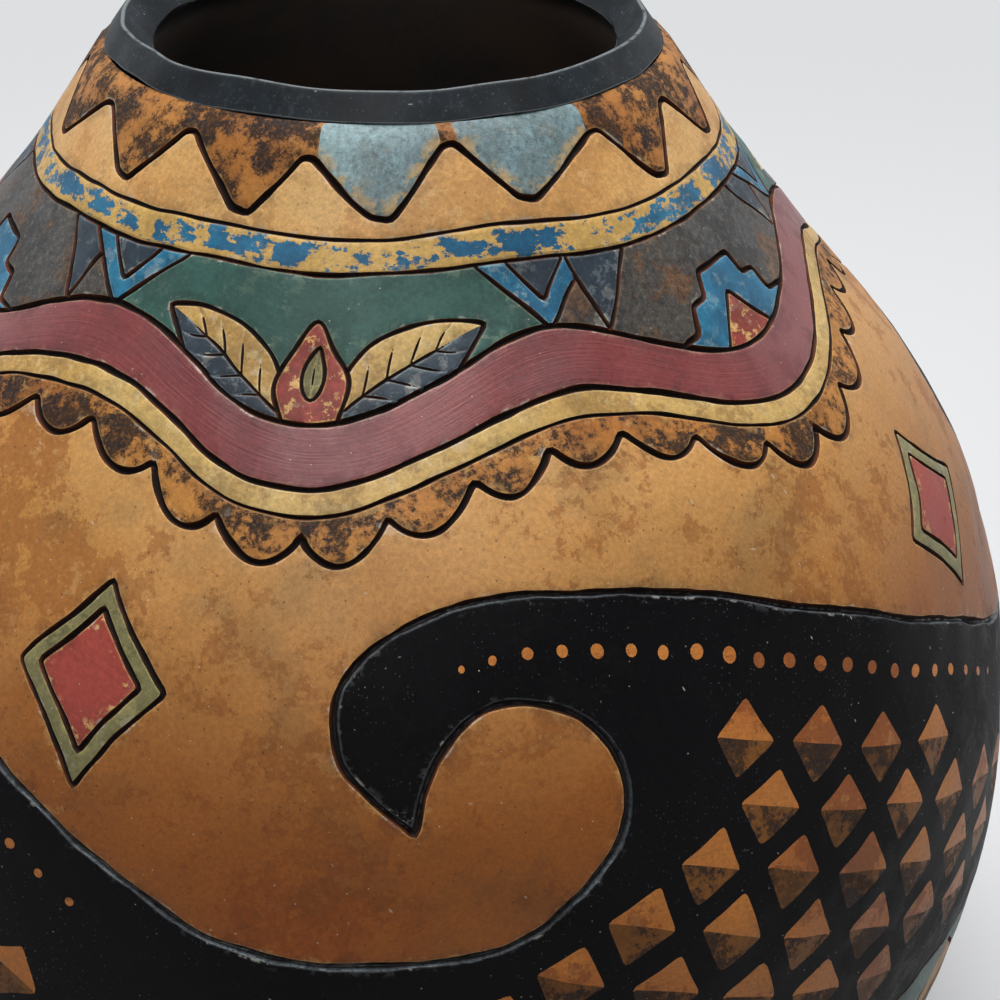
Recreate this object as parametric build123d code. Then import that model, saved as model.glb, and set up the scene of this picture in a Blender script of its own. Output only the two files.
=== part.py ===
from build123d import *
import math
import os

# Carved gourd vessel: a dried hard-shelled gourd, cut open at the neck.
# Millimetres, +Z up, origin on the resting plane below the middle of the base.

# Gourd shell: the outer wall is four tangent arcs turned round the Z axis
belly_radius = 120.0      # widest ring of the gourd
belly_height = 103.0      # widest ring above the sanded flat base
neck_rise = 131.3         # cut edge of the neck above the widest ring
neck_radius = 48.6        # outside of the neck at the cut edge
neck_flare_arc = 300.0    # hollow curve from the neck down to the shoulder
upper_belly_arc = 123.0   # round curve from the shoulder down to the widest ring
lower_belly_arc = 220.0   # slow curve from the widest ring down to the heel
heel_arc = 78.0           # curve of the heel, ending flat at the base
shell_wall = 7.0          # thickness of the dried rind

# Seam: a V cut round the neck, just below the rim collar
seam_depth = 1.1          # how far the seam goes in from the neck's outside
seam_height = 1.0         # how far the seam reaches down from the cut edge

# Carved lines: V grooves in the outside, each placed by its run down the skin from the cut edge
line_width = 1.4          # width of a line just outside the skin
line_depth = 0.9          # depth of a line below the skin
line_clear = 0.2          # how far the cutting tool stands out of the skin
neck_ring_run = 17.0      # upper edge of the stripe round the neck
stripe_width = 5.5
ribbon_run = 44.0         # middle of the winding ribbon on the shoulder
ribbon_width = 9.8
ribbon_swing = 6.5        # how far the ribbon winds up and down from its middle
ribbon_turns = 6
ribbon_marks = 12         # points of the ribbon's curve in each turn
ribbon_start = -9.0       # degrees from the front, to the right, to a low point of the ribbon
border_run = 171.0        # upper line of the toothed border on the lower belly
border_width = 15.0
heel_ring_run = 215.0     # upper edge of the band above the heel
heel_band_width = 6.0

# Rim collar: a black ring with a crest, glued on the cut edge
collar_height = 4.7       # crest above the cut edge, before rounding
crest_setback = 3.3       # crest inward from the collar's outer foot
crest_round = 0.7         # rounding along the crest
collar_land = 0.6         # upright edge of the collar at both of its feet

# Inner lining: the black sealing coat on the inside of the rind
lining_coat = 0.6

# Base pad: a disc glued under the flat base
pad_radius = 34.0
pad_thickness = 2.0

# Heights that follow from the sizes above
base_level = pad_thickness
belly_level = base_level + belly_height
cut_level = belly_level + neck_rise
crest_level = cut_level + collar_height


def point(radius, height):
    return Vector(radius, 0, height)


def circles_meet(centre_a, radius_a, centre_b, radius_b):
    """The meeting point of two circles that lies furthest from the Z axis."""
    across = centre_b - centre_a
    gap = across.length
    along = (radius_a**2 - radius_b**2 + gap**2) / (2 * gap)
    aside = math.sqrt(radius_a**2 - along**2)
    unit = across / gap
    return centre_a + unit * along + point(abs(unit.Z), -unit.X) * aside


def arc(centre, start, end):
    """The short arc about a centre from one point to another."""
    middle = (start - centre) + (end - centre)
    radius = (start - centre).length
    return ThreePointArc(start, centre + middle.normalized() * radius, end)


# Centres of the four arcs, each tangent to the next
upper_centre = point(belly_radius - upper_belly_arc, belly_level)
lower_centre = point(belly_radius - lower_belly_arc, belly_level)
flare_centre = circles_meet(
    upper_centre, upper_belly_arc + neck_flare_arc,
    point(neck_radius, cut_level), neck_flare_arc,
)
heel_level = base_level + heel_arc
heel_reach = math.sqrt((lower_belly_arc - heel_arc) ** 2 - (belly_level - heel_level) ** 2)
heel_centre = point(lower_centre.X + heel_reach, heel_level)
arc_centres = [flare_centre, upper_centre, lower_centre, heel_centre]


def flare_point(level, inset):
    """The point of the neck's hollow curve at a level, set in from the outer surface."""
    sweep = neck_flare_arc + inset
    below = flare_centre.Z - level
    return point(flare_centre.X - math.sqrt(sweep**2 - below**2), level)


def neck_edge(inset):
    """The wall's point at the cut edge, set in from the outer surface."""
    return flare_point(cut_level, inset)


def wall_points(inset):
    """Ends of the arcs, from the cut edge down to the base, set in from the outer surface."""
    to_flare = (flare_centre - upper_centre).normalized()
    to_heel = (heel_centre - lower_centre).normalized()
    return [
        neck_edge(inset),
        upper_centre + to_flare * (upper_belly_arc - inset),
        point(belly_radius - inset, belly_level),
        lower_centre + to_heel * (lower_belly_arc - inset),
        point(heel_centre.X, base_level + inset),
        point(0, base_level + inset),
    ]


def wall_outline(inset, top=None):
    """Edges of the wall from the cut edge, or a lower start on the flare, to the Z axis."""
    edge, shoulder, widest, heel, base, middle = wall_points(inset)
    return [
        arc(flare_centre, top or edge, shoulder),
        arc(upper_centre, shoulder, widest),
        arc(lower_centre, widest, heel),
        arc(heel_centre, heel, base),
        Line(base, middle),
    ]


def turned(edges):
    """A solid turned round the Z axis from the closed outline of its half section."""
    return revolve(make_face(edges), axis=Axis.Z)


def skin_at(run, turn):
    """A point of the outer wall and its outward direction; the turn is in degrees from the front."""
    corners = wall_points(0)
    for centre, start, end in zip(arc_centres, corners, corners[1:]):
        from_spoke, to_spoke = start - centre, end - centre
        sweep = math.radians(from_spoke.get_angle(to_spoke))
        length = sweep * from_spoke.length
        if run <= length:
            break
        run -= length
    share = run / length
    from_share = math.sin((1 - share) * sweep) / math.sin(sweep)
    to_share = math.sin(share * sweep) / math.sin(sweep)
    spoke = from_spoke * from_share + to_spoke * to_share
    outward = spoke.normalized() * (-1 if centre is flare_centre else 1)
    return (centre + spoke).rotate(Axis.Z, turn - 90), outward.rotate(Axis.Z, turn - 90)


def ring_tool(run):
    """The tool of a level line round the gourd: a V section turned round the axis."""
    on_wall, outward = skin_at(run, 90)
    across = outward.cross(Vector(0, 1, 0)) * line_width / 2
    lift = outward * line_clear
    return turned([Polyline(
        on_wall + lift - across, on_wall + lift + across, on_wall - outward * line_depth, close=True,
    )])


def winding_tool(stations):
    """The tool of a closed line that winds round the gourd: a V section along stations of run and turn."""
    on_skin = [skin_at(run, turn) for run, turn in stations]
    upper, lower, root = [], [], []
    for i, (on_wall, outward) in enumerate(on_skin):
        ahead = on_skin[(i + 1) % len(on_skin)][0] - on_skin[i - 1][0]
        across = outward.cross(ahead).normalized() * line_width / 2
        lift = outward * line_clear
        upper.append(on_wall + lift + across)
        lower.append(on_wall + lift - across)
        root.append(on_wall - outward * line_depth)
    edges = [Spline(*points, periodic=True).edge() for points in (upper, lower, root)]
    faces = [Face.make_surface_from_curves(edges[i - 1], edges[i]) for i in range(3)]
    return Solid(Shell(faces))


def ribbon_stations(offset):
    """Stations along an edge of the ribbon, offset from its middle."""
    count = ribbon_turns * ribbon_marks
    stations = []
    for i in range(count):
        run = ribbon_run + offset + ribbon_swing * math.cos(2 * math.pi * ribbon_turns * i / count)
        stations.append((run, ribbon_start + 360 * i / count))
    return stations


def carved_lines():
    """The tools of the carved lines that the solid has."""
    half = ribbon_width / 2
    rings = [
        neck_ring_run, neck_ring_run + stripe_width,
        border_run, border_run + border_width,
        heel_ring_run, heel_ring_run + heel_band_width,
    ]
    winding = [ribbon_stations(-half), ribbon_stations(half)]
    return [ring_tool(run) for run in rings] + [winding_tool(line) for line in winding]


def gourd_shell():
    seam_foot = flare_point(cut_level - seam_height, 0)
    seam_root = point(neck_radius - seam_depth, cut_level)
    inner_edge = neck_edge(shell_wall)
    shell = turned([
        *wall_outline(0, top=seam_foot),
        Line(point(0, base_level), point(0, base_level + shell_wall)),
        *wall_outline(shell_wall),
        Line(inner_edge, seam_root),
        Line(seam_root, seam_foot),
    ])
    for tool in carved_lines():
        shell = shell - tool
    return shell


def rim_collar():
    inner = neck_edge(shell_wall + lining_coat).X
    outer = neck_radius - seam_depth
    section = make_face(Polyline(
        point(inner, cut_level),
        point(outer, cut_level),
        point(outer, cut_level + collar_land),
        point(outer - crest_setback, crest_level),
        point(inner, cut_level + collar_land),
        close=True,
    ))
    crest = section.vertices().sort_by(Axis.Z)[-1]
    rounded = section.face().fillet_2d(crest_round, [crest])
    return revolve(rounded, axis=Axis.Z)


def inner_lining():
    inset = shell_wall + lining_coat
    return turned([
        *wall_outline(shell_wall),
        Line(point(0, base_level + shell_wall), point(0, base_level + inset)),
        *wall_outline(inset),
        Line(neck_edge(inset), neck_edge(shell_wall)),
    ])


def base_pad():
    return Cylinder(pad_radius, pad_thickness, align=(Align.CENTER, Align.CENTER, Align.MIN))


pieces = {
    "gourd_shell": gourd_shell(),
    "rim_collar": rim_collar(),
    "inner_lining": inner_lining(),
    "base_pad": base_pad(),
}

os.makedirs("parts", exist_ok=True)
for name, piece in pieces.items():
    export_step(piece, f"parts/{name}.step")
    box = piece.bounding_box()
    print(f"{name}: volume {piece.volume:.0f}, radius {box.max.X:.2f}, z {box.min.Z:.2f} to {box.max.Z:.2f}")
print(f"mouth radius {neck_edge(shell_wall + lining_coat).X:.2f}, base flat radius {heel_centre.X:.2f}")
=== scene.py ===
import bpy
import math
import numpy as np
from mathutils import Euler, Matrix, Vector, kdtree
from mathutils.geometry import delaunay_2d_cdt


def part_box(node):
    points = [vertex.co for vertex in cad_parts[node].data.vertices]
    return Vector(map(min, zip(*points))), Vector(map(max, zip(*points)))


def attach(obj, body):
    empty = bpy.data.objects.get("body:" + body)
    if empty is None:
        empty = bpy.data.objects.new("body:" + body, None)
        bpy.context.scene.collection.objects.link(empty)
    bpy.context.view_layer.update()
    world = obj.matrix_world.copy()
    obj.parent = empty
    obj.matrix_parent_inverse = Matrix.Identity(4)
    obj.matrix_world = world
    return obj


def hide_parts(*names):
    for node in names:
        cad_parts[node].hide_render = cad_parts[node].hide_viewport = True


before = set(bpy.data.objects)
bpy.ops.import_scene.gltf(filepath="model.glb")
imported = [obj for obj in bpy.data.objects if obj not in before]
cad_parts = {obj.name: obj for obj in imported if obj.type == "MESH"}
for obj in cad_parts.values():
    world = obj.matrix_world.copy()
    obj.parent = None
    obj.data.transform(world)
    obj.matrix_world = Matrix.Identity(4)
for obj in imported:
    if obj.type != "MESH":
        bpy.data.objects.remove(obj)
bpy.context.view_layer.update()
mm = 0.001

# the turned form of the gourd, as in the frame
gourdForm = dict(
    bellyRadius=120 * mm,
    bellyRise=103 * mm,        # widest ring above the flat base
    neckRadius=48.6 * mm,
    neckFlareArc=300 * mm,
    upperBellyArc=123 * mm,
    lowerBellyArc=220 * mm,
    heelArc=78 * mm,
    seamDepth=1.1 * mm,
    seamHeight=1.0 * mm,
    baseInner=30 * mm,         # the skin runs in to this radius, hidden by the felt pad
    step=0.4 * mm,
)


def arcRun(centre, radius, start, end, outward):
    count = max(8, int(abs(end - start) * radius / gourdForm["step"]))
    turn = np.linspace(start, end, count, endpoint=False)
    spoke = np.stack([np.cos(turn), np.sin(turn)], 1)
    return np.array(centre) + spoke * radius, spoke * outward


def lineRun(start, end, normal):
    a, b = np.array(start), np.array(end)
    count = max(2, int(np.linalg.norm(b - a) / gourdForm["step"]))
    t = np.linspace(0, 1, count, endpoint=False)[:, None]
    return a + (b - a) * t, np.tile(normal, (count, 1))


def angleTo(centre, point):
    return math.atan2(point[1] - centre[1], point[0] - centre[0])


def runTotal(lengths):
    return np.concatenate([[0], np.cumsum(lengths)])


def meridian():
    g = gourdForm
    low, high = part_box("gourd_shell")
    base, cut = low.z, high.z
    widest = base + g["bellyRise"]
    upper = np.array([g["bellyRadius"] - g["upperBellyArc"], widest])
    lower = np.array([g["bellyRadius"] - g["lowerBellyArc"], widest])
    neck = np.array([g["neckRadius"], cut])
    big, small = g["upperBellyArc"] + g["neckFlareArc"], g["neckFlareArc"]
    gap = np.linalg.norm(neck - upper)
    along = (big ** 2 - small ** 2 + gap ** 2) / (2 * gap)
    way = (neck - upper) / gap
    flare = upper + way * along + np.array([way[1], -way[0]]) * math.sqrt(big ** 2 - along ** 2)
    heelLevel = base + g["heelArc"]
    reach = math.sqrt((g["lowerBellyArc"] - g["heelArc"]) ** 2 - (widest - heelLevel) ** 2)
    heel = np.array([lower[0] + reach, heelLevel])
    footLevel = cut - g["seamHeight"]
    foot = np.array([flare[0] - math.sqrt(small ** 2 - (footLevel - flare[1]) ** 2), footLevel])
    shoulder = angleTo(upper, flare)
    slant = math.sqrt(0.5)     # the seam's face looks up and out
    runs = [
        lineRun((g["neckRadius"] - g["seamDepth"], cut), foot, (slant, slant)),
        arcRun(flare, small, angleTo(flare, foot) % (2 * math.pi), shoulder + math.pi, -1),
        arcRun(upper, g["upperBellyArc"], shoulder, 0, 1),
        arcRun(lower, g["lowerBellyArc"], 0, angleTo(lower, heel), 1),
        arcRun(heel, g["heelArc"], angleTo(lower, heel), -math.pi / 2, 1),
        lineRun((heel[0], base), (g["baseInner"], base), (0, -1)),
    ]
    points = np.concatenate([r[0] for r in runs])
    normals = np.concatenate([r[1] for r in runs])
    length = np.linalg.norm(np.diff(points, axis=0), axis=1)
    s = runTotal(length)
    s += np.linalg.norm(foot - neck) - np.linalg.norm(foot - points[0])    # 0 at the neck's cut edge
    middle = (points[1:, 0] + points[:-1, 0]) / 2
    v = runTotal(length / middle)
    return dict(s=s, v=v, r=points[:, 0], z=points[:, 1], nr=normals[:, 0], nz=normals[:, 1])


mer = meridian()
vEnd = mer["v"][-1]
print("meridian", round(mer["s"][-1] / mm, 1), "mm, map height", round(vEnd, 3))


def at(key, v):
    return np.interp(v, mer["v"], mer[key])


def level(s):
    return np.interp(np.asarray(s) * mm, mer["s"], mer["v"])


def swung(out, up, angle):
    return np.stack([out * np.sin(angle), -out * np.cos(angle), up], -1)


def onSkin(xy):
    xy = np.asarray(xy)
    return swung(at("r", xy[:, 1]), at("z", xy[:, 1]), xy[:, 0])


def skinNormal(xy):
    return unit(swung(at("nr", xy[:, 1]), at("nz", xy[:, 1]), xy[:, 0]))


def unit(v):
    return v / np.maximum(np.linalg.norm(v, axis=-1, keepdims=True), 1e-12)


def leftOf(way):
    return np.stack([-way[..., 1], way[..., 0]], -1)


# a smooth uneven swell: a few sine waves of mixed lengths in mixed directions
def ripple(points, size, seed):
    sines = 11
    rng = np.random.default_rng(seed)
    way = unit(rng.normal(size=(sines, 3)))
    way *= (2 * math.pi / (size * rng.uniform(0.6, 1.5, sines)))[:, None]
    return np.sin(points @ way.T + rng.uniform(0, 2 * math.pi, sines)).sum(1) * math.sqrt(2 / sines)


# drawing on the unrolled skin: x is the angle in radians, y is the map height
handDraw = dict(
    wander=0.34, wanderSize=34, shake=0.07, shakeSize=7, seeds=((1, 2), (3, 4)),
    still=0.5, free=4,                     # lines near the cut edge keep level, millimetres down the skin
    step=0.85, lowStep=1.5, fineTo=139,    # spacing of points, wider below the level fineTo
)
over = math.radians(8)     # lines that run round the gourd pass this far beyond the join at the back
drawnTo = 192              # degrees each way that they are drawn before they are trimmed
fields = []    # painted shapes, later ones over earlier ones
cuts = []      # carved lines


def spot(deg, s):
    return np.stack(np.broadcast_arrays(np.radians(deg), level(s)), -1)


def spots(pairs):
    return spot(*np.array(pairs).T)


def place(deg, s, outline, turn=0):
    a = math.radians(turn)
    o = np.asarray(outline, float) * mm
    x = o[:, 0] * math.cos(a) - o[:, 1] * math.sin(a)
    y = o[:, 0] * math.sin(a) + o[:, 1] * math.cos(a)
    here = spot(deg, s)
    r = at("r", here[1])
    return np.stack([here[0] + x / r, here[1] + y / r], 1)


def byHand(xy):
    p = onSkin(xy)
    h = handDraw
    dx, dy = (h["wander"] * ripple(p, h["wanderSize"] * mm, slow)
              + h["shake"] * ripple(p, h["shakeSize"] * mm, quick) for slow, quick in h["seeds"])
    still = np.clip((xy[:, 1] - level(h["still"])) / (level(h["free"]) - level(h["still"])), 0, 1)
    r = at("r", xy[:, 1]) / mm
    return xy + np.stack([dx / r, dy / r * still], 1)


def resample(xy, closed=False, step=None):
    xy = np.asarray(xy, float)
    if closed:
        xy = np.concatenate([xy, xy[:1]])
    middle = (xy[1:, 1] + xy[:-1, 1]) / 2
    real = np.linalg.norm(np.diff(xy, axis=0), axis=1) * at("r", middle) / mm
    if step is None:
        step = np.where(middle < level(handDraw["fineTo"]), handDraw["step"], handDraw["lowStep"])
    counts = np.maximum(1, np.ceil(real / step)).astype(int)
    out = [xy[:1]]
    for i, n in enumerate(counts):
        out.append(xy[i] + (xy[i + 1] - xy[i]) * (np.arange(1, n + 1) / n)[:, None])
    out = np.concatenate(out)
    return out[:-1] if closed else out


def soften(xy, closed):
    before, after = np.roll(xy, 1, 0), np.roll(xy, -1, 0)
    out = 0.25 * before + 0.5 * xy + 0.25 * after
    if not closed:
        out[0], out[-1] = xy[0], xy[-1]
    return out


# a smooth line through the points
def curve(points, fine=14):
    p = np.asarray(points, float)
    out = []
    for i in range(len(p) - 1):
        b, c = p[i], p[i + 1]
        a = p[i - 1] if i else 2 * b - c
        d = p[i + 2] if i + 2 < len(p) else 2 * c - b
        t = np.linspace(0, 1, fine, endpoint=False)[:, None]
        out.append(0.5 * (2 * b + (c - a) * t + (2 * a - 5 * b + 4 * c - d) * t ** 2
                          + (3 * b - a - 3 * c + d) * t ** 3))
    return np.concatenate(out + [p[-1:]])


def mirrored(right):
    return right + [(-x, y) for x, y in right[::-1] if x]


def addField(paint, xy):
    fields.append(dict(paint=paint, xy=soften(byHand(resample(xy, True)), True)))


def addCut(xy, width, closed=False, taper=(0, 0)):
    line = soften(byHand(resample(xy, closed)), closed)
    cuts.append(dict(xy=line, width=width, closed=closed, taper=taper, layer=len(fields)))


def outlined(paint, xy, width):
    addField(paint, xy)
    addCut(xy, width, closed=True)


def trim(line):
    out = []
    for limit in (-math.pi - over, math.pi + over):
        side = line[:, 0] > limit
        for i in np.nonzero(side[1:] != side[:-1])[0]:
            t = (limit - line[i, 0]) / (line[i + 1, 0] - line[i, 0])
            out.append((i, line[i] + (line[i + 1] - line[i]) * t))
    first, last = out[0], out[-1]
    return np.concatenate([first[1][None], line[first[0] + 1:last[0] + 1], last[1][None]])


def aroundLine(sOf, step=1.0):
    deg = np.arange(-drawnTo, drawnTo + step / 2, step)
    return trim(spot(deg, sOf(deg)))


def cutAround(sOf, width, step=1.0):
    addCut(aroundLine(sOf, step), width)


def fillBetween(paint, top, bottom):
    addField(paint, np.concatenate([top, bottom[::-1]]))


def aroundField(paint, topOf, bottomOf, step=1.0):
    fillBetween(paint, aroundLine(topOf, step), aroundLine(bottomOf, step))


def flat(s):
    return lambda deg: np.full(np.shape(deg), float(s))


# levels of the design, millimetres down the skin from the neck's cut edge
bands = dict(
    top=-3, zigTop=4.0, zigBottom=14.4, ring=17.0, stripe=22.5,
    ribbon=44, ribbonSwing=6.5, ribbonHalf=4.9, echo=4.2, fringe=2.6, fringeDrop=5.2,
    waveBase=171, sawBottom=186, petalRing=215, petalLine=221, petalFoot=286, end=400,
)
turns = 6          # swings of the ribbon
waves = 4          # scrolls round the belly
valley = -9        # angle of a low point of the ribbon

# widths of the carved lines, millimetres
gouge = dict(
    zigzag=1.35, stripe=0.78, shoulder=0.95, leaf=0.95, leafRib=0.75, vein=0.55, bud=1.0, seed=0.8,
    seedRib=0.5, steps=1.3, peak=1.0, tooth=1.0, spike=1.0, spikeCore=0.9, ribbonTop=1.25, ribbonFoot=1.2,
    echo=0.85, fringe=1.4, lozenge=1.1, scroll=1.6, border=1.0, saw=1.3, petal=1.0, petalRib=0.8, belt=0.95,
)


def ribbonMid(deg):
    return bands["ribbon"] + bands["ribbonSwing"] * np.cos(np.radians(turns * (np.asarray(deg) - valley)))


def ribbonEdge(offset):
    return lambda deg: ribbonMid(deg) + offset


def drawGround():
    aroundField("ochre", flat(bands["top"]), flat(bands["end"]))
    aroundField("mottled", flat(bands["top"]), flat(bands["ring"]))


# the zigzag under the rim: angles in degrees and levels in millimetres, or shares of half a tooth
zigzag = dict(
    teeth=15, seed=5, slip=2.0, rise=1.0,      # slip and rise are how far a tooth strays
    crown=1.1, crownTilt=0.25, foot=(0.9, 1.14), footTilt=0.5, under=1,
    hazed=(4, 9, 10, 14),                      # hollows with a pale blue haze
    hazeTop=(1.6, 1.2), hazeMid=(2.0, 1.4), hazeDrop=1.2, hazeFoot=(0.7, 1.3), hazeDeep=1.5,
)


def drawZigzag():
    z = zigzag
    b = bands
    teeth = z["teeth"]
    half = 180 / teeth
    rng = np.random.default_rng(z["seed"])
    slip = rng.uniform(-z["slip"], z["slip"], teeth)
    rise = rng.uniform(-z["rise"], z["rise"], (2, teeth))
    points, hollows = [], []
    for k in range(-2, teeth + 2):
        i = k % teeth
        d = -180 + 360 * k / teeth + slip[i]
        peak, foot = b["zigTop"] + rise[0, i], b["zigBottom"] + rise[1, i]
        points += [(d - z["crown"], peak + z["crownTilt"]), (d + z["crown"], peak),
                   (d + half * z["foot"][0], foot - z["footTilt"]), (d + half * z["foot"][1], foot)]
        hollows.append((d, peak, foot))
    line = trim(spots(points))
    for i in z["hazed"]:
        (d0, peak0, foot), (d1, peak1, _) = hollows[i], hollows[i + 1]
        deep = foot + z["hazeDeep"]
        addField("hazeBlue", spots([
            (d0 + z["hazeTop"][0], b["top"]), (d1 - z["hazeTop"][1], b["top"]),
            (d1 - z["hazeMid"][1], peak1 + z["hazeDrop"]), (d0 + half * z["hazeFoot"][1], deep),
            (d0 + half * z["hazeFoot"][0], deep), (d0 + z["hazeMid"][0], peak0 + z["hazeDrop"]),
        ]))
    fillBetween("amber", line, aroundLine(flat(b["ring"] + z["under"])))
    addCut(line, gouge["zigzag"])


def drawStripe():
    aroundField("wornBlue", flat(bands["ring"]), flat(bands["stripe"]))
    cutAround(flat(bands["ring"]), gouge["stripe"])


def leafForm(length, width, bend=0, points=26, blunt=0.8):
    full = 0.85
    t = np.linspace(0, 1, points)
    half = width / 2 * np.sin(math.pi * t ** blunt) ** full
    mid = np.stack([bend * t ** 2, -length * t], 1)
    return mid, -leftOf(unit(np.gradient(mid, axis=0))), half


def leafEdge(mid, side, half):
    return np.concatenate([mid + side * half[:, None], (mid - side * half[:, None])[-2:0:-1]])


# green bays of the shoulder: two leaves, each with a dyed half, and a bud with a seed in it
greenBay = dict(
    apart=3.2, lift=1.4, length=27, width=12.5, lean=49, bend=5, ribTaper=(0, 6),
    veins=4, firstVein=0.16, veinSpan=0.5, veinRun=0.16, veinReach=0.74,    # shares of a leaf
    veinTaper=(0, 2.4), veinFrom=0.06,
    bud=[(3.6, 0.5), (5.6, -6), (3.2, -12), (0, -17)],
    seedLift=3.5, seedLong=9, seedWide=3.2, seedBend=0.3, seedPoints=18, seedTaper=(3, 4),
)


def drawHalfLeaf(deg, s, turn, bend):
    b = greenBay
    mid, side, half = leafForm(b["length"], b["width"], bend)
    t = np.linspace(0, 1, len(mid))

    def onLeaf(u, across):
        return [np.interp(u, t, mid[:, k] + side[:, k] * half * across) for k in (0, 1)]

    outline = leafEdge(mid, side, half)
    addField("tan", place(deg, s, outline, turn))
    lower = mid - side * (math.copysign(1, bend) * half)[:, None]
    addField("slate", place(deg, s, np.concatenate([mid, lower[-2:0:-1]]), turn))
    addCut(place(deg, s, outline, turn), gouge["leaf"], closed=True)
    addCut(place(deg, s, mid[1:-4], turn), gouge["leafRib"], taper=b["ribTaper"])
    steps = np.linspace(b["veinFrom"], 1, 6)
    for k in range(b["veins"]):
        root = b["firstVein"] + b["veinSpan"] * k / (b["veins"] - 1)
        for sign in (1, -1):
            vein = [onLeaf(root + b["veinRun"] * q, sign * b["veinReach"] * q) for q in steps]
            addCut(place(deg, s, vein, turn), gouge["vein"], taper=b["veinTaper"])


def drawGreenBay(mid, floor):
    b = greenBay
    for side in (-1, 1):
        drawHalfLeaf(mid + side * b["apart"], floor - b["lift"], side * b["lean"], side * b["bend"])
    outlined("brick", place(mid, floor, curve(mirrored(b["bud"]), fine=6)), gouge["bud"])
    wide = b["seedWide"]
    rib, across, half = leafForm(b["seedLong"], wide, wide * b["seedBend"], b["seedPoints"])
    outlined("olive", place(mid, floor - b["seedLift"], leafEdge(rib, across, half)), gouge["seed"])
    addCut(place(mid, floor - b["seedLift"], rib[2:-3]), gouge["seedRib"], taper=b["seedTaper"])


# stone bays of the shoulder: a stepped block, and two teeth that hang from the stripe
stoneBay = dict(half=17, rise=5.3, tread=5.2, steps=3, batter=1.2, sag=0.3, peakHalf=7.5, peakTall=9.5,
                toothAway=20, toothHalf=5.6, toothLean=1.5, toothLong=11.5)


def drawStoneBay(mid, floor, top):
    b = stoneBay
    right = []
    for k in range(b["steps"]):
        edge = b["half"] - b["tread"] * k
        right += [(edge, -b["rise"] * k), (edge - b["batter"], -b["rise"] * (k + 1) + b["sag"])]
    outlined("blue", place(mid, floor, mirrored(right)), gouge["steps"])
    outlined("brick", place(mid, floor, mirrored([(b["peakHalf"], 0), (0, -b["peakTall"])])), gouge["peak"])
    for side in (-1, 1):
        tooth = [(b["toothHalf"], 0), (side * b["toothLean"], b["toothLong"]), (-b["toothHalf"], 0)]
        outlined("slate", place(mid + side * b["toothAway"], top, tooth), gouge["tooth"])


# spikes between the bays, as long as the ribbon leaves room for
spike = dict(half=10, waist=4.2, waistAt=0.55, coreHalf=5, coreLong=0.62)


def drawSpike(deg, top):
    tall = float(ribbonMid(deg)) - bands["ribbonHalf"] - top
    outer = [(spike["half"], 0), (spike["waist"], tall * spike["waistAt"]), (0, tall)]
    outlined("blue", place(deg, top, mirrored(outer)), gouge["spike"])
    core = [(spike["coreHalf"], 0), (0, tall * spike["coreLong"])]
    outlined("slate", place(deg, top, mirrored(core)), gouge["spikeCore"])


def drawShoulder():
    top = bands["stripe"]
    half = 180 / turns
    for k in range(-turns // 2 - 1, turns // 2 + 1):
        mid = valley + 2 * half * k
        deg = np.linspace(mid - half, mid + half, 40)
        upper = spot(deg[::-1], np.full(len(deg), top))
        addField(("green", "stone")[k % 2], np.concatenate([upper, spot(deg, ribbonMid(deg))]))
    for k in range(-turns // 2, turns // 2):
        mid = valley + 2 * half * k
        floor = float(ribbonMid(mid)) - bands["ribbonHalf"]
        if k % 2 == 0:
            drawGreenBay(mid, floor)
        else:
            drawStoneBay(mid, floor, top)
        drawSpike(mid + half, top)
    cutAround(flat(top), gouge["shoulder"])


# the scalloped fringe under the ribbon
fringe = dict(scallops=21, rounded=0.75, step=0.5)


def drawRibbon():
    h = bands["ribbonHalf"]
    low = h + bands["echo"]

    def fringeEdge(deg):
        swing = np.abs(np.sin(np.radians(fringe["scallops"] * (deg - valley)))) ** fringe["rounded"]
        return ribbonMid(deg) + low + bands["fringe"] + bands["fringeDrop"] * swing

    aroundField("mottled", ribbonEdge(low), fringeEdge, fringe["step"])
    cutAround(fringeEdge, gouge["fringe"], fringe["step"])
    aroundField("maroon", ribbonEdge(-h), ribbonEdge(h))
    aroundField("tan", ribbonEdge(h), ribbonEdge(low))
    for offset, line in ((-h, "ribbonTop"), (h, "ribbonFoot"), (low, "echo")):
        cutAround(ribbonEdge(offset), gouge[line])


# one running scroll, millimetres along the period and down the skin, breaking to the left
waveForm = dict(
    period=170,
    hollow=[(0, 125), (12, 126.9), (26, 125.8), (39, 120.4), (49, 110), (50, 98), (42, 89.5), (31, 88.5),
            (23, 95), (19, 106)],
    back=[(19, 106), (9.5, 97), (8, 86), (15, 77.5), (30, 73), (50, 73.5), (75, 80), (100, 90.5),
          (125, 104), (146, 116.4), (158, 122.5), (170, 125)],
    phase=-9,
)
scrollHollow = curve(waveForm["hollow"])[:-1]
scrollBack = curve(waveForm["back"])


def waveSpot(points, k):
    p = np.asarray(points, float)
    return spot(waveForm["phase"] + 360 / waves * (k + p[:, 0] / waveForm["period"]), p[:, 1])


def drawWaves():
    line = []
    for k in range(1 - waves, waves - 1):
        line.append(waveSpot(scrollHollow, k))
        line.append(waveSpot(scrollBack[:-1], k))
    line = trim(np.concatenate(line))
    fillBetween("black", line, aroundLine(flat(bands["waveBase"])))
    addCut(line, gouge["scroll"])
    for k in range(-waves // 2, waves // 2):
        drawScrollMarks(k)


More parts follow.
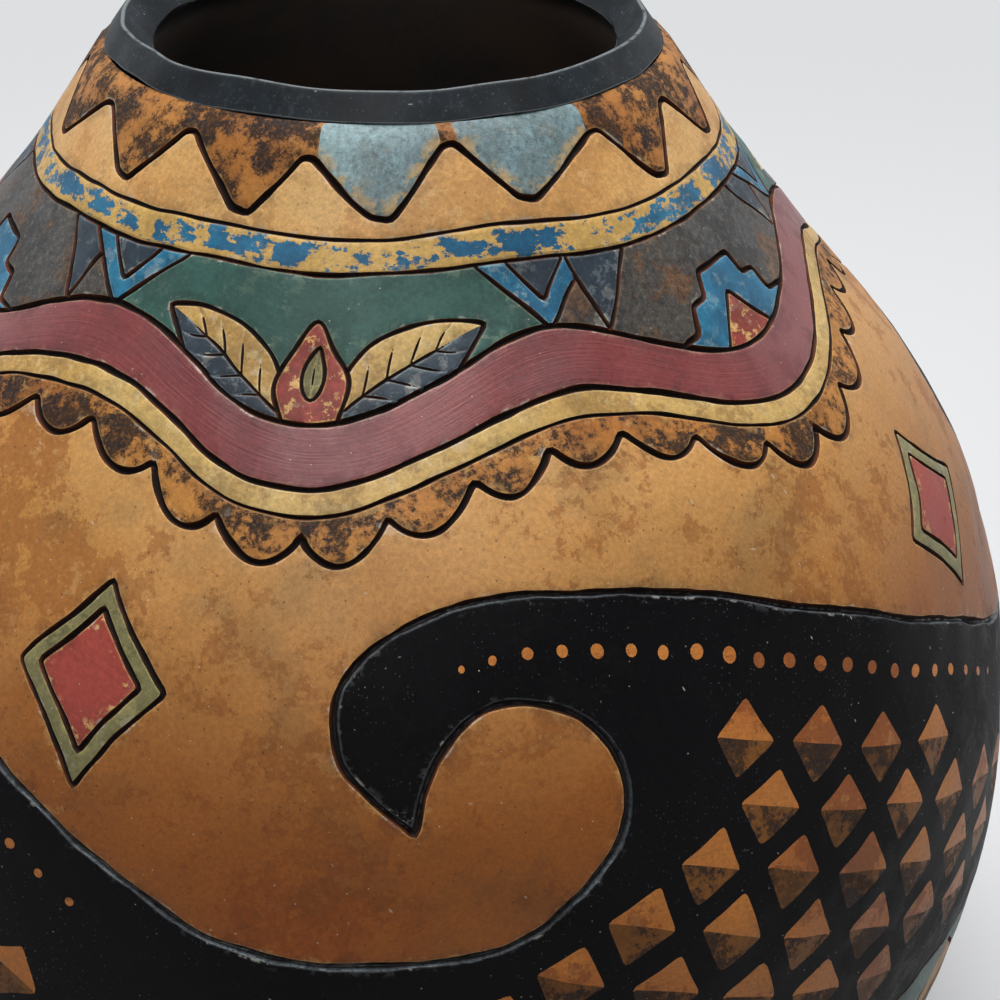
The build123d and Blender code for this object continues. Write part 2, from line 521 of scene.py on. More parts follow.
def insideScroll(points, margin):
    below = 400     # closes the outline far down the skin
    one = np.concatenate([scrollHollow, scrollBack[:-1]])
    shift = np.array([waveForm["period"], 0])
    a = np.concatenate([one - shift, one, one + shift, [[below, below], [-below, below]]])
    b = np.roll(a, -1, 0)
    for p in points:
        crosses = (a[:, 1] > p[1]) != (b[:, 1] > p[1])
        rise = np.where(crosses, b[:, 1] - a[:, 1], 1)
        hits = crosses & (p[0] < a[:, 0] + (p[1] - a[:, 1]) * (b[:, 0] - a[:, 0]) / rise)
        if hits.sum() % 2 == 0 or np.linalg.norm(a[:-2] - p, axis=1).min() < margin:
            return False
    return True


# beads along the back of each scroll, and nested rows of two-tone diamonds behind the crest
scrollMarks = dict(
    seed=40,
    start=47, end=178, beadLine=8.6, beadStep=6.4, beadSlip=0.3,
    bead=1.35, beadLeast=0.42, beadMore=0.58, beadSwell=0.6, beadVary=(0.9, 1.1), beadCorner=30,
    middle=118, reach=6, rows=6, first=21.5, between=10.2, along=15.2, wide=11.2, tall=12.6, jitter=0.35,
    beadRoom=3.4, room=4.6, footRoom=6, tail=150,
)


def drawScrollMarks(k):
    m = scrollMarks
    rng = np.random.default_rng(m["seed"] + k)
    run = runTotal(np.linalg.norm(np.diff(scrollBack, axis=0), axis=1))

    def onBack(d):
        p, q = (np.array([np.interp(e, run, scrollBack[:, c]) for c in (0, 1)]) for e in (d, d + 1))
        way = unit(q - p)
        return p, np.array([way, leftOf(way)])

    corner = np.radians(np.arange(0, 360, m["beadCorner"]))
    ring = np.stack([np.cos(corner), np.sin(corner)], 1)
    for d in np.arange(m["start"], m["end"], m["beadStep"]):
        edge, axes = onBack(d)
        middle = edge + axes[1] * (m["beadLine"] + rng.uniform(-m["beadSlip"], m["beadSlip"]))
        swell = math.sin(math.pi * (d - m["start"]) / (m["end"] - m["start"])) ** m["beadSwell"]
        size = m["bead"] * (m["beadLeast"] + m["beadMore"] * swell) * rng.uniform(*m["beadVary"])
        addField("nick", waveSpot(middle + size * ring, k))
    edge, axes = onBack(m["middle"])
    half = np.array([(-m["wide"], 0), (0, -m["tall"]), (m["wide"], 0), (0, m["tall"])]) / 2
    for row in range(m["rows"]):
        for i in range(-m["reach"], m["reach"] + 1):
            away = ((i + 0.5 * (row % 2)) * m["along"], m["first"] + m["between"] * row)
            corners = edge + (half + away + rng.uniform(-m["jitter"], m["jitter"], (4, 2))) @ axes
            fromBack = np.linalg.norm(scrollBack[None] - corners[:, None], axis=2).min()
            clear = fromBack > m["beadLine"] + m["beadRoom"] and insideScroll(corners, m["room"])
            ends = corners.max(0)
            if clear and ends[0] < m["tail"] and ends[1] < bands["waveBase"] - m["footRoom"]:
                addField("nick", waveSpot(corners, k))
                addField("nickWorn", waveSpot(corners[[2, 3, 0]], k))


# a framed lozenge above each trough between the scrolls
lozenge = dict(level=88, along=138, wide=26, tall=32, waist=0.44, parts=(("olive", 0), ("brick", 4.0)))


def drawBellyMarks():
    m = lozenge
    for k in range(waves):
        deg = waveForm["phase"] + 360 / waves * (k + m["along"] / waveForm["period"])
        for paint, inset in m["parts"]:
            w, t = m["wide"] / 2 - inset, m["tall"] / 2 - inset * m["tall"] / m["wide"]
            side = [(w, 0), (w * m["waist"], t * 0.5), (0, t), (-w * m["waist"], t * 0.5)]
            outline = side + [(-x, -y) for x, y in side]
            outlined(paint, place((deg + 180) % 360 - 180, m["level"], outline), gouge["lozenge"])


# the toothed border and the petals under it
lowerForm = dict(teeth=34, toothFoot=1.5, toothTip=2.0,
                 petals=20, petalLong=60, petalWide=20.5, petalBlunt=1.25, ribTaper=(0, 9))


def drawLower():
    b = bands
    f = lowerForm
    aroundField("green", flat(b["waveBase"]), flat(b["sawBottom"]))
    saw = []
    for k in range(-2, f["teeth"] + 2):
        d = -180 + 360 * k / f["teeth"]
        saw += [(d, b["sawBottom"] - f["toothFoot"]), (d + 180 / f["teeth"], b["waveBase"] + f["toothTip"])]
    saw = trim(spots(saw))
    fillBetween("amber", saw, aroundLine(flat(b["sawBottom"])))
    cutAround(flat(b["waveBase"]), gouge["border"])
    addCut(saw, gouge["saw"])
    aroundField("mottled", flat(b["sawBottom"]), flat(b["end"]))
    mid, side, half = leafForm(f["petalLong"], f["petalWide"], blunt=f["petalBlunt"])
    petal = leafEdge(mid, side, half)
    for i in range(f["petals"]):
        d = -180 + 360 * (i + 0.5) / f["petals"]
        outlined(("tan", "ochre")[i % 2], place(d, b["petalFoot"], petal), gouge["petal"])
        addCut(place(d, b["petalFoot"], mid[2:-2]), gouge["petalRib"], taper=f["ribTaper"])
    aroundField("maroon", flat(b["petalRing"]), flat(b["petalLine"]))
    for line in ("sawBottom", "petalRing", "petalLine"):
        cutAround(flat(b[line]), gouge["belt"])


drawGround()
drawZigzag()
drawStripe()
drawShoulder()
drawRibbon()
drawBellyMarks()
drawWaves()
drawLower()
print("drawn", len(fields), "fields and", len(cuts), "cuts")

# carving: the drawing becomes one triangle mesh with sunk lines, sizes in millimetres
carve = dict(
    narrow=0.8, tip=0.12, steep=0.84,             # shares of the drawn width, the last for the depth
    tremble=((0.11, 13, 21), (0.06, 4, 22)),      # share, size and seed of the changes in width
    least=0.6, most=1.4,                          # limits of those changes
    sharpest=0.6, shortest=3,                     # limits at corners, and of the points in a shown run
    lip=0.34, lipDrop=0.1, lipRound=1.6, wallRound=1.7,
    innerLine=0.55, innerFrom=1, trace=0.4,       # wide lines have an inner row of points
    fill=3.2, fillRow=0.87, fillStray=0.16, fillSeed=3, clear=1.2, backRoom=1.2, endRoom=0.8,
    rung=1.5, rounds=221,                         # points down the join and round the two ends
    swells=((0.26, 46, 31), (0.07, 9, 32)),       # height, size and seed of the unevenness of the skin
    calmTop=(3, 16), calmFoot=(14, 20),           # where the unevenness begins and ends, and how softly
    sinkFrom=1.6, rubTo=8,
    same=1e-5, join=3e-4,                         # radians between points that count as one
)


def cutHalf(cut, xy):
    p = onSkin(xy)
    vary = 1
    for share, size, seed in carve["tremble"]:
        vary = vary + share * ripple(p, size * mm, seed)
    half = cut["width"] * carve["narrow"] / 2 * np.clip(vary, carve["least"], carve["most"])
    run = runTotal(np.linalg.norm(np.diff(p, axis=0), axis=1)) / mm
    for taper, gone in zip(cut["taper"], (run, run[-1] - run)):
        if taper:
            half = half * np.clip(gone / taper, carve["tip"], 1)
    return half


def offsetLine(xy, closed, half):
    if closed:
        before, after = np.roll(xy, 1, 0), np.roll(xy, -1, 0)
    else:
        before = np.concatenate([2 * xy[:1] - xy[1:2], xy[:-1]])
        after = np.concatenate([xy[1:], 2 * xy[-1:] - xy[-2:-1]])
    a, b = unit(xy - before), unit(after - xy)
    n = unit(leftOf(a) + leftOf(b))
    stretch = 1 / np.clip((n * leftOf(a)).sum(1), carve["sharpest"], 1)
    r = at("r", xy[:, 1]) / mm
    return xy + n * (half * stretch / r)[:, None]


def copiesAcrossBack(item):
    near = 0.05     # radians from the join at the back
    xy = item["xy"]
    low, high = xy[:, 0].min(), xy[:, 0].max()
    yield item
    if high - low < math.pi:
        for close, shift in ((high > math.pi - near, -1), (low < -math.pi + near, 1)):
            if close:
                yield dict(item, xy=xy + [2 * math.pi * shift, 0])


def shownRuns(cut, ownerOf):
    xy = cut["xy"]
    inner = np.stack([(xy[:, 0] + math.pi) % (2 * math.pi) - math.pi, xy[:, 1]], 1)
    shown = ownerOf(inner) < cut["layer"]
    if shown.all():
        return [cut]
    if cut["closed"] and shown.any():
        first = int(np.argmin(shown))
        xy, shown = np.roll(xy, -first, 0), np.roll(shown, -first)
    change = np.nonzero(np.diff(np.concatenate([[0], shown.astype(int), [0]])))[0]
    runs = [xy[a:b] for a, b in zip(change[::2], change[1::2]) if b - a > carve["shortest"]]
    return [dict(cut, xy=run, closed=False) for run in runs]


def treeOf(points):
    tree = kdtree.KDTree(len(points))
    for i, p in enumerate(points):
        tree.insert(p, i)
    tree.balance()
    return tree


def nearestCuts():
    where, half = [], []
    for cut in cuts:
        xy = np.concatenate([cut["xy"], cut["xy"][:1]]) if cut["closed"] else cut["xy"]
        fine = resample(xy, step=carve["trace"])
        where.append(onSkin(fine))
        half.append(cutHalf(cut, fine))
    tree = treeOf(np.concatenate(where))
    half = np.concatenate(half)

    def ask(points):
        found = [tree.find(p)[1:] for p in points]
        return np.array([f[1] for f in found]) / mm, half[[f[0] for f in found]]

    return ask


# which field is uppermost at a place, kept as an even-odd raster of all outlines
def fieldMap():
    grain = 0.001     # radians
    left = -math.pi - 2 * over
    wide, tall = int(-2 * left / grain) + 2, int(vEnd / grain) + 2
    owner = np.zeros((tall, wide), np.int16)
    for index, field in enumerate(fields):
        for item in copiesAcrossBack(field):
            a = (np.clip(item["xy"], (left, 0), (-left, vEnd)) - (left, 0)) / grain
            b = np.roll(a, -1, 0)
            a, b = np.where(a[:, 1:] < b[:, 1:], a, b), np.where(a[:, 1:] < b[:, 1:], b, a)
            start, end = np.ceil(a[:, 1]).astype(int), np.ceil(b[:, 1]).astype(int)
            count = end - start
            edge = np.repeat(np.arange(len(a)), count)
            row = np.arange(count.sum()) - np.repeat(np.cumsum(count) - count, count) + start[edge]
            slope = (b[edge, 0] - a[edge, 0]) / (b[edge, 1] - a[edge, 1])
            column = np.ceil(a[edge, 0] + (row - a[edge, 1]) * slope).astype(int)
            top, side = row.min(), column.min()
            flips = np.zeros((row.max() - top + 1, column.max() - side + 1), np.int16)
            np.add.at(flips, (row - top, column - side), 1)
            inside = np.cumsum(flips, 1, dtype=np.int16) % 2 == 1
            owner[top:top + flips.shape[0], side:side + flips.shape[1]][inside] = index

    def ask(xy):
        cell = np.round((xy - (left, 0)) / grain).astype(int)
        return owner[np.clip(cell[:, 1], 0, tall - 1), np.clip(cell[:, 0], 0, wide - 1)]

    return ask


ownerOf = fieldMap()
cuts = [run for cut in cuts for run in shownRuns(cut, ownerOf)]
print("shown", len(cuts), "cut lines")


# points between the lines, in loose rows of even spacing
def fillPoints(known):
    c = carve
    rng = np.random.default_rng(c["fillSeed"])
    tree = treeOf(onSkin(known))
    made = []
    y, row = 0.0, 0
    while y < vEnd:
        r = at("r", y) / mm
        count = int(2 * math.pi * r / c["fill"])
        x = -math.pi + 2 * math.pi * (np.arange(count) + 0.5 * (row % 2) + 0.25) / count
        xy = np.stack([x, np.full(count, y)], 1) + rng.normal(0, c["fillStray"] * c["fill"] / r, (count, 2))
        room = c["endRoom"] / r
        inside = np.abs(xy[:, 0]) < math.pi - c["backRoom"] / r
        xy = xy[inside & (xy[:, 1] > room) & (xy[:, 1] < vEnd - room)]
        made += [Vector(q) for p, q in zip(onSkin(xy), xy.tolist()) if tree.find(p)[2] > c["clear"] * mm]
        y += c["fillRow"] * c["fill"] / r
        row += 1
    return made


def carveSkin():
    points, edges = [], []

    def putLine(xy, closed):
        start = len(points)
        points.extend(Vector(p) for p in np.stack([xy[:, 0], np.clip(xy[:, 1], 0, vEnd)], 1).tolist())
        edges.extend((start + i, start + i + 1) for i in range(len(xy) - 1))
        if closed:
            edges.append((start + len(xy) - 1, start))

    for field in fields:
        for item in copiesAcrossBack(field):
            putLine(item["xy"], True)
    for cut in cuts:
        for item in copiesAcrossBack(cut):
            xy, closed = item["xy"], item["closed"]
            half = cutHalf(item, xy)
            putLine(xy, closed)
            shares = (carve["innerLine"], 1) if item["width"] > carve["innerFrom"] else (1,)
            for sign in (1, -1):
                for share in shares:
                    putLine(offsetLine(xy, closed, sign * half * share), closed)
                putLine(offsetLine(xy, closed, sign * (half + carve["lip"])), closed)
    across = np.linspace(-math.pi, math.pi, carve["rounds"])
    rungs = level(np.arange(mer["s"][0] / mm, mer["s"][-1] / mm, carve["rung"]))
    for y in (0, vEnd):
        putLine(np.stack([across, np.full(len(across), y)], 1), False)
    for x in (-math.pi, math.pi):
        putLine(np.stack([np.full(len(rungs), x), rungs], 1), False)
    points += fillPoints(np.array([tuple(p) for p in points]))

    made = delaunay_2d_cdt(points, edges, [], 0, carve["same"], False)
    xy = np.array([tuple(p) for p in made[0]])
    tris = np.array(made[2])
    centre = xy[tris].mean(1)
    keep = (np.abs(centre[:, 0]) < math.pi) & (centre[:, 1] > 0) & (centre[:, 1] < vEnd)
    return xy, tris[keep], centre[keep]


flatXY, flatTris, triCentre = carveSkin()
fieldPaint = np.array([f["paint"] for f in fields])
triPaint = fieldPaint[ownerOf(triCentre)]
skinBlack = fieldPaint[ownerOf(flatXY)] == "black"
print("carved", len(flatXY), "points", len(flatTris), "triangles")


def sunkSkin():
    c = carve
    ask = nearestCuts()
    p, n = onSkin(flatXY), skinNormal(flatXY)
    away, half = ask(p)
    share = np.minimum(away / half, 1)
    edge = np.clip(1 - (away - half) / c["lip"], 0, 1)
    wall = c["lipDrop"] + (2 * half * c["steep"] - c["lipDrop"]) * (1 - share ** c["wallRound"])
    drop = np.where(share < 1, wall, c["lipDrop"] * edge ** c["lipRound"])
    s = at("s", flatXY[:, 1]) / mm
    calm = np.clip((s - c["calmTop"][0]) / c["calmTop"][1], 0, 1)
    calm = calm * np.clip((mer["s"][-1] / mm - c["calmFoot"][0] - s) / c["calmFoot"][1], 0, 1)
    swell = sum(height * ripple(p, size * mm, seed) for height, size, seed in c["swells"])
    sunk = np.clip((s - s.min()) / c["sinkFrom"], 0, 1)
    pos = p + n * ((swell * calm - drop * sunk) * mm)[:, None]
    far, wide = ask(onSkin(triCentre))
    return pos, np.clip(away - half, 0, c["rubTo"]), share, far < wide


skinPos, skinRub, skinWall, inGroove = sunkSkin()
print("sunk", int(inGroove.sum()), "groove triangles")


# points on the join at the back are one point for both sides
def joinBack():
    joined = np.arange(len(flatXY))
    left, right = (np.nonzero(np.abs(flatXY[:, 0] - x) < carve["same"])[0] for x in (-math.pi, math.pi))
    away = np.abs(flatXY[right, 1][:, None] - flatXY[left, 1])
    close = away.min(1) < carve["join"]
    joined[right[close]] = left[away.argmin(1)[close]]
    return joined


joined = joinBack()


def pointNormals(tris):
    noFace = 1e-14     # a shorter sum means that no face meets the point
    t = joined[tris]
    a, b, c = skinPos[t[:, 0]], skinPos[t[:, 1]], skinPos[t[:, 2]]
    face = np.cross(c - a, b - a)
    total = np.zeros_like(skinPos)
    for k in range(3):
        np.add.at(total, t[:, k], face)
    unused = np.linalg.norm(total, axis=1) < noFace
    total[unused] = (0, 0, 1)
    return unit(total)


paintNormals = pointNormals(flatTris[~inGroove])
grooveNormals = pointNormals(flatTris[inGroove])
streakAcross = at("s", flatXY[:, 1]) / mm - ribbonMid(np.degrees(flatXY[:, 0]))
skinValues = dict(rub=skinRub, wall=skinWall, across=streakAcross, besideBlack=skinBlack)


# the unrolled skin cut into strips, so that the picture baked from it is about square
def stripMap(xy):
    used, border, past = 0.96, 0.02, 1e-6
    middle = xy[:, :, 0].mean(1)
    left, right = middle.min(), middle.max() + past
    top, bottom = xy[:, :, 1].min(), xy[:, :, 1].max() + past
    rows = max(1, int(round(math.sqrt((right - left) / (bottom - top)))))
    strip = np.floor((middle - left) / (right - left) * rows)[:, None]
    u = ((xy[:, :, 0] - left) / (right - left) * rows - strip) * used + border
    v = ((xy[:, :, 1] - top) / (bottom - top) * used + border + strip) / rows
    return np.stack([u, v], 2)


def keepValues(mesh, name, values):
    mesh.attributes.new(name, "FLOAT", "POINT").data.foreach_set("value", np.asarray(values, np.float32))


def linked(name, data):
    piece = bpy.data.objects.new(name, data)
    bpy.context.scene.collection.objects.link(piece)
    return piece


def skinPiece(name, picked, normals, coat):
    tris = flatTris[picked][:, [0, 2, 1]]
    used, local = np.unique(joined[tris], return_inverse=True)
    mesh = bpy.data.meshes.new(name)
    mesh.from_pydata(skinPos[used].tolist(), [], local.reshape(-1, 3).tolist())
    mesh.shade_smooth()
    for key, values in skinValues.items():
        keepValues(mesh, key, values[used])
    layer = mesh.uv_layers.new(name="OFBake")
    layer.data.foreach_set("uv", stripMap(flatXY[tris]).reshape(-1).astype(np.float32))
    mesh.normals_split_custom_set_from_vertices(normals[used].tolist())
    mesh.materials.append(coat)
    piece = linked(name, mesh)
    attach(piece, "root")
    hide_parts("gourd_shell")
    return piece


# shader sums as plain arithmetic
class Sock:
    def __init__(self, graph, socket):
        self.graph = graph
        self.socket = socket

    def sum(self, operation, a, b):
        return self.graph.node("ShaderNodeMath", dict(operation=operation), {0: a, 1: b})

    def __add__(self, other):
        return self.sum("ADD", self, other)

    def __radd__(self, other):
        return self.sum("ADD", other, self)

    def __sub__(self, other):
        return self.sum("SUBTRACT", self, other)

    def __rsub__(self, other):
        return self.sum("SUBTRACT", other, self)

    def __mul__(self, other):
        return self.sum("MULTIPLY", self, other)

    def __rmul__(self, other):
        return self.sum("MULTIPLY", other, self)

    def over(self, low, high):
        return self.graph.node("ShaderNodeMapRange", dict(interpolation_type="SMOOTHSTEP"),
                               {"Value": self, "From Min": low, "From Max": high})

    def under(self, low, high):
        return 1 - self.over(low, high)


class Graph:
    def __init__(self, owner):
        self.owner = owner
        owner.use_nodes = True
        self.tree = owner.node_tree
        self.shader = self.tree.nodes.get("Principled BSDF")

    def node(self, kind, settings=None, values=None, output=0):
        made = self.tree.nodes.new(kind)
        for key, value in (settings or {}).items():
            setattr(made, key, value)
        for key, value in (values or {}).items():
            self.put(made.inputs[key], value)
        if isinstance(output, tuple):
            return [Sock(self, made.outputs[key]) for key in output]
        return Sock(self, made.outputs[output])

    def put(self, socket, value):
        if isinstance(value, Sock):
            self.tree.links.new(value.socket, socket)
        else:
            socket.default_value = value

    def here(self):
        return self.node("ShaderNodeTexCoord", output="Object")

    def rise(self, vector):
        return self.node("ShaderNodeSeparateXYZ", None, {0: vector}, 2)

    def moved(self, operation, a, b):
        return self.node("ShaderNodeVectorMath", dict(operation=operation), {0: a, 1: b})

    def stretched(self, vector, scale, turn=(0, 0, 0)):
        return self.node("ShaderNodeMapping", None, {"Vector": vector, "Rotation": turn, "Scale": scale})

    def noise(self, vector, size, detail, rough):
        return self.node("ShaderNodeTexNoise", None,
                         {"Vector": vector, "Scale": 1 / (size * mm), "Detail": detail, "Roughness": rough})

    # small spots: the cells' spacing, a spot's soft edge, and which share of the cells has one
    def spotted(self, vector, size, edge, many):
        values = {"Vector": vector, "Scale": 1 / (size * mm)}
        away, colour = self.node("ShaderNodeTexVoronoi", None, values, ("Distance", "Color"))
        pick = self.node("ShaderNodeSeparateColor", None, {0: colour})
        return away.under(*edge) * pick.over(*many)

    def mix(self, factor, a, b, blend="MIX"):
        settings = dict(data_type="RGBA", blend_type=blend)
        return self.node("ShaderNodeMix", settings, {0: factor, 6: a, 7: b}, 2)

    def tinted(self, colour, tint):
        return self.mix(1.0, colour, (*tint, 1), "MULTIPLY")

    def shade(self, colour, by):
        return self.tinted(colour, (by, by, by))

    def seen(self):
        camera, glossy, through = self.node("ShaderNodeLightPath", None, None,
                                            ("Is Camera Ray", "Is Glossy Ray", "Is Transmission Ray"))
        return camera + glossy + through

    def kept(self, name):
        return self.node("ShaderNodeAttribute", dict(attribute_name=name), None, "Fac")

    def dress(self, values):
        for key, value in values.items():
            self.put(self.shader.inputs[key], value)

    def finish(self, colour, rough, height, coat=0.0, coatRough=0.25, spec=0.5):
        bump = self.node("ShaderNodeBump", None, {"Height": height, "Distance": 1.0, "Strength": 1.0})
        self.dress({"Base Color": colour, "Roughness": rough, "Specular IOR Level": spec,
                    "Coat Weight": coat, "Coat Roughness": coatRough, "Normal": bump})
        return self.owner


def material(name):
    return Graph(bpy.data.materials.new(name))


def tone(r, g, b):
    def linear(x):
        x /= 255
        return x / 12.92 if x <= 0.04045 else ((x + 0.055) / 1.055) ** 2.4
    return (linear(r), linear(g), linear(b), 1)


# fine pale hairs that lie two ways on a surface
hairTurns = ((0.4, 0, 1.2), (-0.9, 0, -0.7))     # radians


def hairs(g, p, colour, size, squeeze, edge, many, strength, tint):
    for turn in hairTurns:
        strewn = g.stretched(g.stretched(p, (1, 1, 1), turn), (1, squeeze, 1))
        colour = g.mix(g.spotted(strewn, size, edge, many) * strength, colour, tone(*tint))
    return colour


# paints: two near tones, a third in lacy dabs, what shows where it is rubbed and is also laid as painted
# highlight along the lips of the carved lines, and how it was laid
paints = dict(
    ochre=dict(tones=((200, 150, 88), (187, 131, 67), (150, 92, 40)), bare=(214, 172, 110),
               dabs=0.7, light=0.6, streak=0.1, dots=0.8, rub=0.3, smudge=0.5, paintedLowShade=1, fibre=1),
    amber=dict(tones=((216, 170, 106), (208, 156, 92), (172, 118, 64)), bare=(228, 196, 142),
               dabs=0.3, light=0.5, streak=0.12, dots=0.6, rub=0.3, smudge=0.25),
    tan=dict(tones=((200, 166, 100), (188, 150, 84), (150, 112, 62)), bare=(222, 198, 142),
             dabs=0.4, light=0.4, streak=0.3, dots=0.4, rub=0.3),
    maroon=dict(tones=((128, 58, 58), (114, 48, 50), (96, 40, 42)), bare=(184, 144, 116),
                dabs=0.3, light=0.0, streak=0.65, dots=0.1, rub=0.16, gloss=1, ridge=2.5,
                coat=0.28, spec=0.45),
    brick=dict(tones=((160, 70, 60), (146, 60, 50), (118, 50, 42)), bare=(222, 182, 112),
               dabs=0.4, light=0.3, streak=0.5, dots=0.15, rub=0.8),
    blue=dict(tones=((42, 122, 154), (34, 104, 138), (28, 82, 112)), bare=(134, 166, 172),
              dabs=0.4, light=0.3, streak=0.3, dots=0.2, rub=0.45),
    wornBlue=dict(tones=((40, 116, 150), (32, 98, 134), (26, 80, 112)), bare=(206, 166, 94),
                  dabs=0.4, light=0.0, streak=0.3, dots=0.2, rub=0.5, flake=1.0),
    hazeBlue=dict(tones=((134, 160, 163), (114, 138, 143), (86, 96, 96)), bare=(196, 162, 104),
                  dabs=0.4, light=0.3, streak=0.9, dots=0.2, rub=0.4, hatch=0.7),
    green=dict(tones=((56, 94, 86), (48, 84, 76), (40, 68, 62)), bare=(136, 152, 128),
               dabs=0.4, light=0.25, streak=0.35, dots=0.2, rub=0.3),
    slate=dict(tones=((50, 64, 76), (42, 54, 66), (34, 42, 52)), bare=(132, 142, 144),
               dabs=0.4, light=0.3, streak=0.35, dots=0.2, rub=0.35),
    olive=dict(tones=((132, 126, 84), (116, 110, 72), (88, 82, 52)), bare=(190, 176, 118),
               dabs=0.5, light=0.4, streak=0.7, dots=0.3, rub=0.3),
    nick=dict(tones=((194, 122, 56), (176, 102, 44), (136, 74, 32)), bare=(212, 156, 94),
              dabs=0.8, light=0.6, streak=0.7, dots=0.4, rub=0.0),
    nickWorn=dict(tones=((132, 86, 42), (110, 70, 34), (72, 48, 26)), bare=(176, 118, 60),
                  dabs=0.7, light=0.5, streak=0.7, dots=0.3, rub=0.0, blotch=0.92, spec=0.18, coat=0.06),
    black=dict(tones=((14, 14, 16), (11, 11, 13), (22, 20, 20)), bare=(104, 106, 108),
               dabs=0.3, light=0.0, streak=0.2, dots=0.0, rub=0.25, spec=0.06, coat=0.02, fibre=1, dust=1),
    mottled=dict(tones=((184, 126, 64), (164, 104, 50), (124, 80, 42)), bare=(212, 168, 104),
                 dabs=0.4, light=0.4, streak=0.1, dots=0.6, rub=0.4, blotch=0.95, spec=0.18, coat=0.06),
    stone=dict(tones=((72, 68, 63), (58, 58, 59), (38, 37, 37)), bare=(140, 120, 96),
               dabs=0.6, light=0.1, streak=0.1, dots=0.5, rub=0.3, worn=0.7, dust=2),
)
# what a paint has unless it says otherwise
plainPaint = dict(smudge=0, paintedLowShade=0, fibre=0, gloss=0, ridge=1, flake=0, hatch=0, blotch=0, worn=0, dust=0,
                  coat=0.16, coatRough=0.34, spec=0.32)
dyeTones = dict(fringe=(112, 72, 40), soot=(26, 28, 32), soil=(52, 38, 28), pore=(44, 28, 18),
                speck=(200, 190, 172), powder=(116, 120, 124), scrapeAndGlint=(204, 200, 188), hair=(206, 198, 182))
stoneTones = dict(deep=(82, 58, 38), warm=(126, 84, 48), pale=(132, 124, 110), dark=(30, 29, 29))
paintedLowShadeForm = dict(low=0.14, high=0.197, stray=0.06, tint=(0.5, 0.285, 0.125))    # painted shade: darker lower down, metres


# one paint's shader while it is put together: its graph, place, settings and shared noises
class Coat:
    def __init__(self, name, look):
        self.g = g = material(name)
        self.look = dict(plainPaint, **look)
        self.p = p = g.here()
        self.rub = g.kept("rub")       # millimetres from the nearest carved line
        self.bare = tone(*look["bare"])
        self.broad = g.noise(p, 34, 3, 0.55)
        self.lace = g.noise(p, 6.5, 8, 0.76)
        self.fine = g.noise(p, 0.8, 2, 0.6)
        self.chip = g.noise(p, 2.4, 5, 0.7)
        a, b, self.third = (tone(*t) for t in look["tones"])
        self.colour = g.mix(self.broad.over(0.4, 0.6), a, b)

    def lay(self, factor, tint):
        self.colour = self.g.mix(factor, self.colour, tint)

    def shaded(self, factor, by):
        self.lay(factor, self.g.shade(self.colour, by))


def layDabs(c):
    low = 0.0
    # painted shade: low is 1 lower down on the gourd, where the ochre is darkened; the dabs thin out there
    if c.look["paintedLowShade"]:
        low = (c.g.rise(c.p) + paintedLowShadeForm["stray"] * (c.broad - 0.5)).under(paintedLowShadeForm["low"], paintedLowShadeForm["high"])
    dabs = (0.54 * c.lace + 0.46 * c.broad).over(0.507, 0.527)
    c.lay(dabs * (c.look["dabs"] * (1 - 0.5 * low)), c.third)
    if c.look["light"]:
        lifted = (c.chip * 0.45 + c.lace * 0.55).over(0.55, 0.575) * c.broad.over(0.4, 0.55)
        c.lay(lifted * (0.5 * c.look["light"]), c.bare)
    return low, dabs


# brush streaks that follow the ribbon
def layStreaks(c):
    g = c.g
    lay = g.node("ShaderNodeCombineXYZ", None, {2: g.kept("across") * (1.3 * mm)})
    streak = g.noise(g.moved("ADD", g.moved("MULTIPLY", c.p, (0.05, 0.05, 0.0)), lay), 0.55, 3, 0.65)
    c.shaded(streak.over(0.52, 0.72) * (0.5 * c.look["streak"]), 1.4)
    c.shaded(streak.under(0.3, 0.46) * (0.45 * c.look["streak"]), 0.6)
    return streak


# smudges, and painted shade that darkens the ochre lower down
def laySmudgeAndLowShade(c, low):
    g = c.g
    if c.look["smudge"]:
        smudge = g.noise(c.p, 21, 4, 0.6).over(0.53, 0.66)
        c.lay(smudge * c.look["smudge"], g.tinted(c.colour, (0.6, 0.7, 0.82)))
    # painted shade: the ochre darkened lower down
    if c.look["paintedLowShade"]:
        c.lay(low, g.tinted(c.colour, paintedLowShadeForm["tint"]))


# soot mottling with a brown fringe
def laySoot(c):
    g = c.g
    soot = 0.42 * g.noise(c.p, 9, 3, 0.6) + 0.58 * g.noise(c.p, 2.3, 9, 0.82)
    broken = g.noise(c.p, 0.6, 3, 0.7).over(0.36, 0.54)
    soil = g.mix(c.lace.over(0.44, 0.56), tone(*dyeTones["soot"]), tone(*dyeTones["soil"]))
    c.lay(soot.over(0.45, 0.505) * (0.4 + 0.25 * broken), tone(*dyeTones["fringe"]))
    c.lay(soot.over(0.488, 0.524) * (0.68 + 0.32 * broken) * c.look["blotch"], soil)
    return soot


# grey paint worn through to the rind, with grit
def layWorn(c):
    g = c.g
    deep, warm, pale, dark = (tone(*stoneTones[key]) for key in ("deep", "warm", "pale", "dark"))
    through = (0.5 * g.noise(c.p, 15, 3, 0.6) + 0.5 * c.lace).over(0.505, 0.565)
    grit = g.noise(c.p, 0.95, 5, 0.8)
    c.lay(through * c.look["worn"], g.mix(c.chip.over(0.4, 0.6), deep, warm))
    c.lay(grit.over(0.54, 0.62) * 0.34, pale)
    c.lay(grit.under(0.4, 0.47) * 0.65, dark)


def layFlakes(c):
    g = c.g
    left = 0.6 * g.noise(g.stretched(c.p, (1, 1, 1.9)), 5.5, 7, 0.74)
    left = left + 0.25 * g.noise(c.p, 30, 2, 0.5) + 0.15 * c.chip
    c.lay((left + c.rub.under(0.1, 1.5) * 0.07).over(0.532, 0.548) * c.look["flake"], c.bare)


